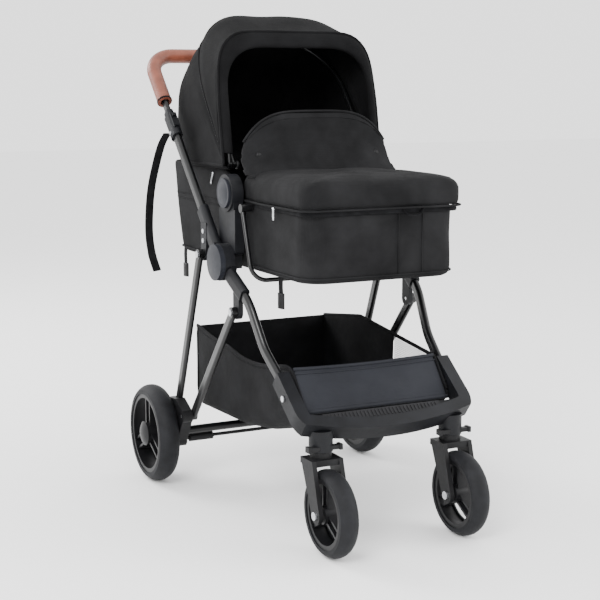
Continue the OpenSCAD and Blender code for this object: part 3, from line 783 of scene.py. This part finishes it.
@dataclass
class Hood:
    """Sewn hood stretched over two bows."""

    wardrobe: Wardrobe
    pivot_y: float = 0.042
    pivot_z: float = 0.714
    front_bow_lean: float = 9.0
    rim_lean: float = 10.2
    bow_lean: float = 40.0
    hem_lean: float = 91.0
    columns: int = 72
    cloth: float = 0.0026
    notch: float = 0.008

    def __post_init__(self) -> None:
        """Keeps the shapes of the hood's solid and front bow to stretch the cloth over."""
        self.form = self.tree_of("hood_fabric")
        self.rod = self.tree_of("hood_bow_front")
        self.centre = Vector((0, self.pivot_y, self.pivot_z))
        self.turns = [180 * j / (self.columns - 1) for j in range(self.columns)]

    @staticmethod
    def tree_of(node: str) -> BVHTree:
        """Tree to cast rays at a node of the frame."""
        data = frame["nodes"][node].data
        return BVHTree.FromPolygons([v.co for v in data.vertices], [list(p.vertices) for p in data.polygons])

    def way(self, lean: float, turn: float) -> Vector:
        """Direction from the pivot line's middle at two angles in degrees."""
        a, b = math.radians(lean), math.radians(turn)
        return Vector((math.cos(b), math.sin(b) * math.sin(a), math.sin(b) * math.cos(a)))

    @staticmethod
    def ahead(lean: float) -> Vector:
        """Direction forwards, square to a bow that leans back by an angle in degrees."""
        a = math.radians(lean)
        return Vector((0, -math.cos(a), math.sin(a)))

    @staticmethod
    def evened(row: Sequence[float]) -> list[float]:
        """Lengths evened out along a row, the two ends kept."""
        inner = [(a + 2 * b + c) / 4 for a, b, c in zip(row, row[1:], row[2:])]
        return [row[0], *inner, row[-1]]

    def reach(self, lean: float, turn: float) -> float:
        """How far the cloth is from the pivot line's middle.

        Args:
            lean: Angle back from upright, in degrees.
            turn: Angle over the arch, in degrees from the left pivot.

        Returns:
            The distance to the outer face.
        """
        way = self.way(lean, turn)
        start, far = self.centre.copy(), 0.0
        for _ in range(6):
            hit = self.form.ray_cast(start, way)[0]
            if hit is None:
                break
            far = (hit - self.centre).length
            start = hit + way * 1e-4
        return far

    def section(self, first: float, last: float, count: int, sag: float) -> Rows:
        """Rows of cloth between two bows, slack in the middle.

        Args:
            first: Lean of the first row.
            last: Lean of the last row.
            count: Number of rows.
            sag: How far the cloth falls in between the bows.

        Returns:
            The rows of points.
        """
        leans = [first + (last - first) * i / (count - 1) for i in range(count)]
        far = [[self.reach(lean, turn) for turn in self.turns] for lean in leans]
        for _ in range(3):
            far = [self.evened(row) for row in far]
            inner = [[(a + 2 * b + c) / 4 for a, b, c in zip(*three)] for three in zip(far, far[1:], far[2:])]
            far = [far[0], *inner, far[-1]]
        rows = []
        for i, lean in enumerate(leans):
            share, row = i / (count - 1), []
            for j, turn in enumerate(self.turns):
                rise = math.sin(math.radians(turn))
                slack = math.sin(math.pi * share) * rise ** 0.6
                fold = 0.0013 * math.sin(turn * 0.35 + lean * 0.11) * math.sin(math.pi * share)
                notch = self.notch * math.exp(-((lean - self.bow_lean) / 3.5) ** 2) * rise ** 0.5
                length = far[i][j] - sag * slack + fold * rise - notch
                row.append(self.centre + length * self.way(lean, turn))
            rows.append(row)
        return rows

    def casing(self, outer: Sequence[Vector]) -> bpy.types.Object:
        """Folded edge of the hood that wraps the front bow.

        Args:
            outer: The hood's rim, from the left pivot to the right one.

        Returns:
            The casing.
        """
        lean = self.front_bow_lean
        far = [(p - self.centre).length for p in outer]
        near = []
        for turn, limit in zip(self.turns, far):
            hit = self.rod.ray_cast(self.centre, self.way(lean, turn))[0]
            near.append(min(limit - 0.004, (hit - self.centre).length if hit else limit - 0.02))
        for _ in range(4):
            near = self.evened(near)
        # each step: how far ahead of the bow, what share of the way out to the rim, and how far out
        steps = ((0.0040, 0.75, 0.0), (0.0075, 0.35, 0.0), (0.0078, 0.0, -0.0005), (0.0035, 0.0, -0.0050),
                 (-0.0040, 0.0, -0.0050), (-0.0095, 0.0, -0.0010), (-0.0160, 0.5, 0.0), (-0.0220, 0.92, 0.0))
        kept = range(3, self.columns - 3)
        rows = [[outer[j] for j in kept]]
        for offset, share, out in steps:
            lengths = {j: near[j] + (far[j] - near[j]) * share + out for j in kept}
            rows.append([self.centre + self.way(lean, self.turns[j]) * lengths[j] + self.ahead(lean) * offset
                         for j in kept])
        return settled(lofted("hood_casing", rows), 0.0016, 1)

    def build(self) -> None:
        """Makes the visor section, the rear section, and the piping and seams on them."""
        visor_rows = self.section(self.rim_lean, self.bow_lean, 15, 0.0045)
        rear_rows = self.section(self.bow_lean, self.hem_lean, 23, 0.0065)
        across = Vector((0, 0.8, 0.6))
        visor = settled(lofted("hood_visor", visor_rows), self.cloth, 1)
        rear = settled(lofted("hood_rear_section", rear_rows), self.cloth, 1)
        forward = self.ahead((self.rim_lean + self.bow_lean) / 2) * 0.07
        self.bend(visor, Body.HOOD_REAR, Body.HOOD_FRONT, self.centre - forward, self.centre + forward)
        self.bend(rear, Body.COT, Body.HOOD_REAR, self.centre - self.ahead(self.bow_lean) * 0.20, self.centre)
        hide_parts("hood_fabric")
        settle_on(self.casing(visor_rows[0]), Body.HOOD_FRONT, self.wardrobe, "hood_canvas")
        hem = rear_rows[-1]
        skirt = [[Vector((p.x * k, self.pivot_y + (p.y - self.pivot_y) * (1 - (1 - k) * 0.4),
                          p.z - (1 - k) * 0.09)) for p in hem] for k in (1.0, 0.97, 0.94, 0.91)]
        settle_on(settled(lofted("hood_skirt", skirt), 0.002), Body.COT, self.wardrobe, "hood_canvas")
        settle_on(swept("hood_rim_piping", visor_rows[0], 0.0062, 0.0062, across, 10),
                  Body.HOOD_FRONT, self.wardrobe, "hood_canvas")
        settle_on(swept("hood_bow_seam", rear_rows[0], 0.0060, 0.0036, across, 10),
                  Body.HOOD_REAR, self.wardrobe, "hood_canvas")
        thread = [p + (p - self.centre).normalized() * 0.0022 for p in rear_rows[0][6:-6]]
        settle_on(stitched("hood_bow_stitching", thread, across, 0.007),
                  Body.HOOD_REAR, self.wardrobe, "bracket_plastic")
        settle_on(swept("hood_hem", hem, 0.0070, 0.0040, Vector((0, 0, 1)), 10),
                  Body.COT, self.wardrobe, "hood_canvas")
        zip_line = [Vector((-0.1700, 0.134 + (0.694 - z) * 0.5, z)) for z in (0.694, 0.690, 0.674, 0.670)]
        settle_on(swept("hood_zip_tab", zip_line, 0.006, 0.0024, Vector((0, 1, 0)), 12),
                  Body.COT, self.wardrobe, "bright_steel")

    def bend(self, piece: bpy.types.Object, a: Body, b: Body, start: Vector, end: Vector) -> None:
        """Dresses a section, bakes its placement into its mesh, and logs the two bodies either side of the
        hinge.
        """
        self.wardrobe.dress(piece, "hood_canvas")
        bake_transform(piece)
        LOG.info("%s from %s to %s", piece.name, a.value, b.value)


@dataclass
class Basket:
    """Sewn basket hung in the frame."""

    wardrobe: Wardrobe
    half_x: float = 0.1625
    front: float = -0.283
    long: float = 0.539
    rear_top: float = 0.344
    corner: float = 0.034
    sections: int = 61
    net_from: float = -0.222
    net_to: float = -0.070
    net_foot: float = 0.285
    floor_line: tuple = ((-0.283, 0.262), (-0.277, 0.240), (-0.094, 0.183), (0.030, 0.164),
                         (0.256, 0.156))
    top_line: tuple = ((-0.283, 0.264), (-0.225, 0.334), (0.080, 0.368), (0.256, 0.344))

    @staticmethod
    def height(line: tuple, y: float) -> float:
        """Height of a line of (y, z) corners at a distance y."""
        for (y0, z0), (y1, z1) in zip(line, line[1:]):
            if y <= y1:
                return z0 + (z1 - z0) * max(0.0, y - y0) / (y1 - y0)
        return line[-1][1]

    def rim(self, y: float, side: Side) -> float:
        """Height of the rim, which dips on the right where things are put in."""
        share = max(0.0, min(1.0, (y + 0.20) / 0.45))
        dip = 0.044 * math.sin(math.pi * share) if side is Side.RIGHT else 0.0
        return self.height(self.top_line, y) - dip

    def profile(self, y: float) -> list[Vector]:
        """U-shaped section of the basket at a distance y, from the right rim to the left one."""
        low = self.height(self.floor_line, y)
        points = []
        for side in (Side.RIGHT, Side.LEFT):
            top = max(self.rim(y, side), low + 0.002)
            corner = min(self.corner, max(0.001, top - low))
            limb = []
            for k in range(9):
                z = top + (low + corner - top) * k / 9
                slack = 0.0022 * math.sin(math.pi * k / 9) * math.sin(y * 38)
                limb.append(Vector((side.value * (self.half_x - 0.0022 + slack * 0.9), y, z)))
            for k in range(7):
                a = math.radians(90 * k / 6)
                limb.append(Vector((side.value * (self.half_x - 0.002 - corner + corner * math.cos(a)), y,
                                    low + corner - corner * math.sin(a))))
            points.append(limb)
        right, left = points
        middle = [Vector((x, y, low - 0.003 * math.cos(x * 9.5))) for x in (-0.09, -0.045, 0, 0.045, 0.09)]
        return right + middle + left[::-1]

    def build(self) -> None:
        """Makes the bag, its panels, the net, the side hems and their stitching."""
        places = [self.front + self.long * i / (self.sections - 1) for i in range(self.sections)]
        rows = [self.profile(y) for y in places]
        bag = self.cut_window(lofted("basket_bag", rows))
        settle_on(settled(bag, 0.0022, 1), Body.FRONT_FRAME, self.wardrobe, "basket_nylon", "basket")
        self.build_front()
        self.build_net()
        panel = []
        for step in range(8):
            share = step / 7
            belly = 0.004 * math.sin(math.pi * share)
            panel.append([Vector((p.x, p.y + 0.001 - belly, p.z + (self.rear_top - p.z) * share))
                          for p in rows[-1]])
        settle_on(settled(lofted("basket_rear_panel", panel), 0.0018), Body.FRONT_FRAME, self.wardrobe,
                  "basket_nylon")
        for side in Side:
            word = side.name.lower()
            edge = [row[0 if side is Side.RIGHT else -1] for row in rows[1:]]
            settle_on(swept(f"basket_hem_{word}", edge, 0.0085, 0.0048, Vector((0, 0, 1)), 10),
                      Body.FRONT_FRAME, self.wardrobe, "basket_nylon")
            stitch_line = [p + Vector((side.value * 0.0026, 0, -0.006)) for p in edge]
            settle_on(stitched(f"basket_stitching_{word}", stitch_line, Vector((0, 0, 1)), 0.008),
                      Body.FRONT_FRAME, self.wardrobe, "webbing")

    def cut_window(self, bag: bpy.types.Object) -> bpy.types.Object:
        """Takes out the part of the left side where the net is."""
        mesh = bmesh.new()
        mesh.from_mesh(bag.data)
        out = []
        for cell in mesh.faces:
            x, y, z = cell.calc_center_median()
            if x > 0.150 and self.net_from < y < self.net_to and z > self.net_foot:
                out.append(cell)
        bmesh.ops.delete(mesh, geom=out, context="FACES")
        mesh.to_mesh(bag.data)
        mesh.free()
        return bag

    def build_front(self) -> None:
        """Front panel with a rolled double hem, laid back from the footrest."""
        xs = [-0.158 + 0.316 * k / 24 for k in range(25)]
        rows = []
        for step in range(10):
            share = step / 9
            belly = 0.005 * math.sin(math.pi * share)
            y, z = -0.2815 + 0.0565 * share, 0.2625 + 0.0735 * share
            rows.append([Vector((x, y - belly * math.cos(x * 9), z - 0.0035 * share * math.cos(x * 9.5)))
                         for x in xs])
        settle_on(settled(lofted("basket_front_panel", rows), 0.003, 1), Body.FRONT_FRAME, self.wardrobe,
                  "basket_panel")
        for name, row, wide in (("top", rows[-1], 0.0075), ("fold", rows[-2], 0.0030),
                                ("low", rows[0], 0.0085)):
            line = [p + Vector((0, -0.001, 0)) for p in row]
            hem = swept(f"basket_front_hem_{name}", line, wide, wide * 0.75, Vector((0, 0, 1)), 10)
            settle_on(hem, Body.FRONT_FRAME, self.wardrobe, "basket_panel")

    def build_net(self) -> None:
        """Open net in the left side, behind the front panel."""
        count = 36
        rows = []
        for i in range(count + 1):
            y = self.net_from + (self.net_to - self.net_from) * i / count
            top = self.rim(y, Side.LEFT)
            rows.append([Vector((self.half_x - 0.003, y, self.net_foot + (top - self.net_foot) * k / 16))
                         for k in range(17)])
        net = lofted("basket_net", rows)
        wire = net.modifiers.new("wire", "WIREFRAME")
        wire.thickness = 0.0011
        settle_on(applied(net), Body.FRONT_FRAME, self.wardrobe, "open_mesh")


@dataclass
class Handle:
    """Cover of the sliding handle and the strap on its right tube."""

    wardrobe: Wardrobe
    hub: Vector = field(default_factory=lambda: Vector((0, 0.005, 0.520)))
    slope: float = 45.9
    drop: float = 0.008
    half_x: float = 0.203
    grip_from: float = 0.451
    reach: float = 0.594
    bend: float = 0.057
    grip_r: float = 0.016

    def at(self, x: float, along: float, over: float) -> Vector:
        """Point at a distance along the handle tubes and over their plane."""
        a = math.radians(self.slope)
        over -= self.drop
        y = along * math.cos(a) - over * math.sin(a)
        z = along * math.sin(a) + over * math.cos(a)
        return self.hub + Vector((x, y, z))

    def line(self, over: float) -> list[Vector]:
        """Line along the grip, from its right end to its left one."""
        straight = self.reach - self.bend - self.grip_from
        points = [self.at(-self.half_x, self.grip_from + straight * k / 6, over) for k in range(7)]
        for k in range(1, 11):
            a = math.radians(9 * k)
            points.append(self.at(-self.half_x + self.bend * (1 - math.cos(a)),
                                  self.reach - self.bend * (1 - math.sin(a)), over))
        mirror = [Vector((-p.x, p.y, p.z)) for p in reversed(points)]
        middle = [points[-1].lerp(mirror[0], k / 16) for k in range(1, 16)]
        return points + middle + mirror

    def build(self) -> None:
        """Makes the stitching, the hems and the strap."""
        a = math.radians(self.slope)
        over = Vector((0, -math.sin(a), math.cos(a)))
        along = over.cross(Vector((1, 0, 0)))
        settle_on(stitched("grip_stitching", self.line(-self.grip_r - 0.0004), over, 0.006, 0.0013),
                  Body.HANDLE, self.wardrobe, "webbing")
        seam = swept("grip_seam", self.line(-self.grip_r + 0.0002), 0.0022, 0.0016, over, 8)
        settle_on(seam, Body.HANDLE, self.wardrobe, "tan_leather")
        for side in Side:
            radius = self.grip_r + 0.0002
            ring = [self.at(side.value * self.half_x + radius * math.cos(t), self.grip_from + 0.003,
                            radius * math.sin(t)) for t in (2 * math.pi * k / 32 for k in range(32))]
            hem = swept(f"grip_hem_{side.name.lower()}", ring, 0.0050, 0.0022, along, 8, True)
            settle_on(hem, Body.HANDLE, self.wardrobe, "webbing")
        corners = [Vector(p) for p in (
            (-0.214, 0.2845, 0.7715), (-0.217, 0.314, 0.745), (-0.222, 0.337, 0.700),
            (-0.226, 0.357, 0.650), (-0.227, 0.370, 0.600), (-0.227, 0.375, 0.545), (-0.225, 0.366, 0.500),
            (-0.220, 0.345, 0.460))]
        strap_line = smooth_line(corners, 8)
        strap = swept("hanging_strap", strap_line, 0.019, 0.0018, Vector((1, 0, 0)), 14)
        settle_on(strap, Body.HANDLE_FRAME, self.wardrobe, "webbing", "wrist_strap")
        fold = [p + Vector((0, 0.0022, 0)) for p in strap_line[-9:]]
        settle_on(swept("strap_folded_end", fold, 0.019, 0.0018, Vector((1, 0, 0)), 14),
                  Body.HANDLE_FRAME, self.wardrobe, "webbing")


def main() -> None:
    """Builds the scene, the camera first and the soft goods after the frame's finishes."""
    logging.basicConfig(level=logging.INFO, format="%(message)s")
    Studio().build()
    wardrobe = Wardrobe()
    wardrobe.dress_frame()
    for assembly in (Basket(wardrobe), Cot(wardrobe), Hood(wardrobe), Handle(wardrobe)):
        LOG.info("building %s", type(assembly).__name__)
        assembly.build()


if __name__ == "__main__":
    main()
